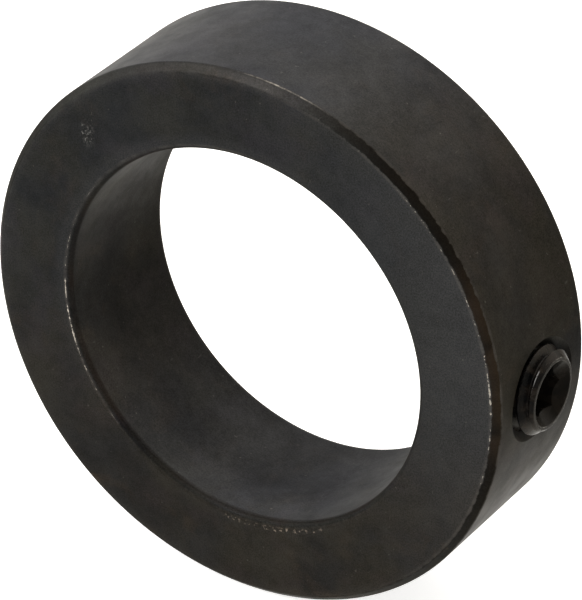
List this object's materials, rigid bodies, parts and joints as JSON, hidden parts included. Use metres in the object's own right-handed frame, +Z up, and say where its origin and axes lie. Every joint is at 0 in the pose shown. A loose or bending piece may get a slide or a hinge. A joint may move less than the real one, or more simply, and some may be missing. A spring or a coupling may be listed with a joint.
{
  "type": "shaft collar",
  "caption": "Solid steel ring that slides onto a shaft and is locked there by a radial hex-socket set screw with a cup point.",
  "frame": {"origin": "centre of the bore, at half the ring's width", "axes": "+Y along the bore with the front face at -Y, +X along the set screw towards its head, +Z up"},
  "size_m": [0.0843, 0.0238, 0.0826],
  "materials": {
    "ring_steel": "black oxide over turned steel, satin, worn to bare metal along the edges",
    "screw_steel": "black oxide over hardened alloy steel, oiled satin"
  },
  "bodies": {
    "collar": {"collar_ring": "ring_steel"},
    "screw_advance": {"set_screw_cup_point": "screw_steel"},
    "screw": {"set_screw": "screw_steel"}
  },
  "joints": [
    {"name": "set_screw_advance", "type": "slide", "parent": "collar", "child": "screw_advance", "axis": [-1, 0, 0], "range_m": [-0.00782, 0.00195]},
    {"name": "set_screw_turn", "type": "hinge", "parent": "screw_advance", "child": "screw", "pos_m": [0.0365, 0, 0], "axis": [-1, 0, 0], "range_deg": [-1440, 360]}
  ],
  "couplings": [
    {"joint": "set_screw_turn", "follows": "set_screw_advance", "rad_per_m": 3215.8}
  ]
}
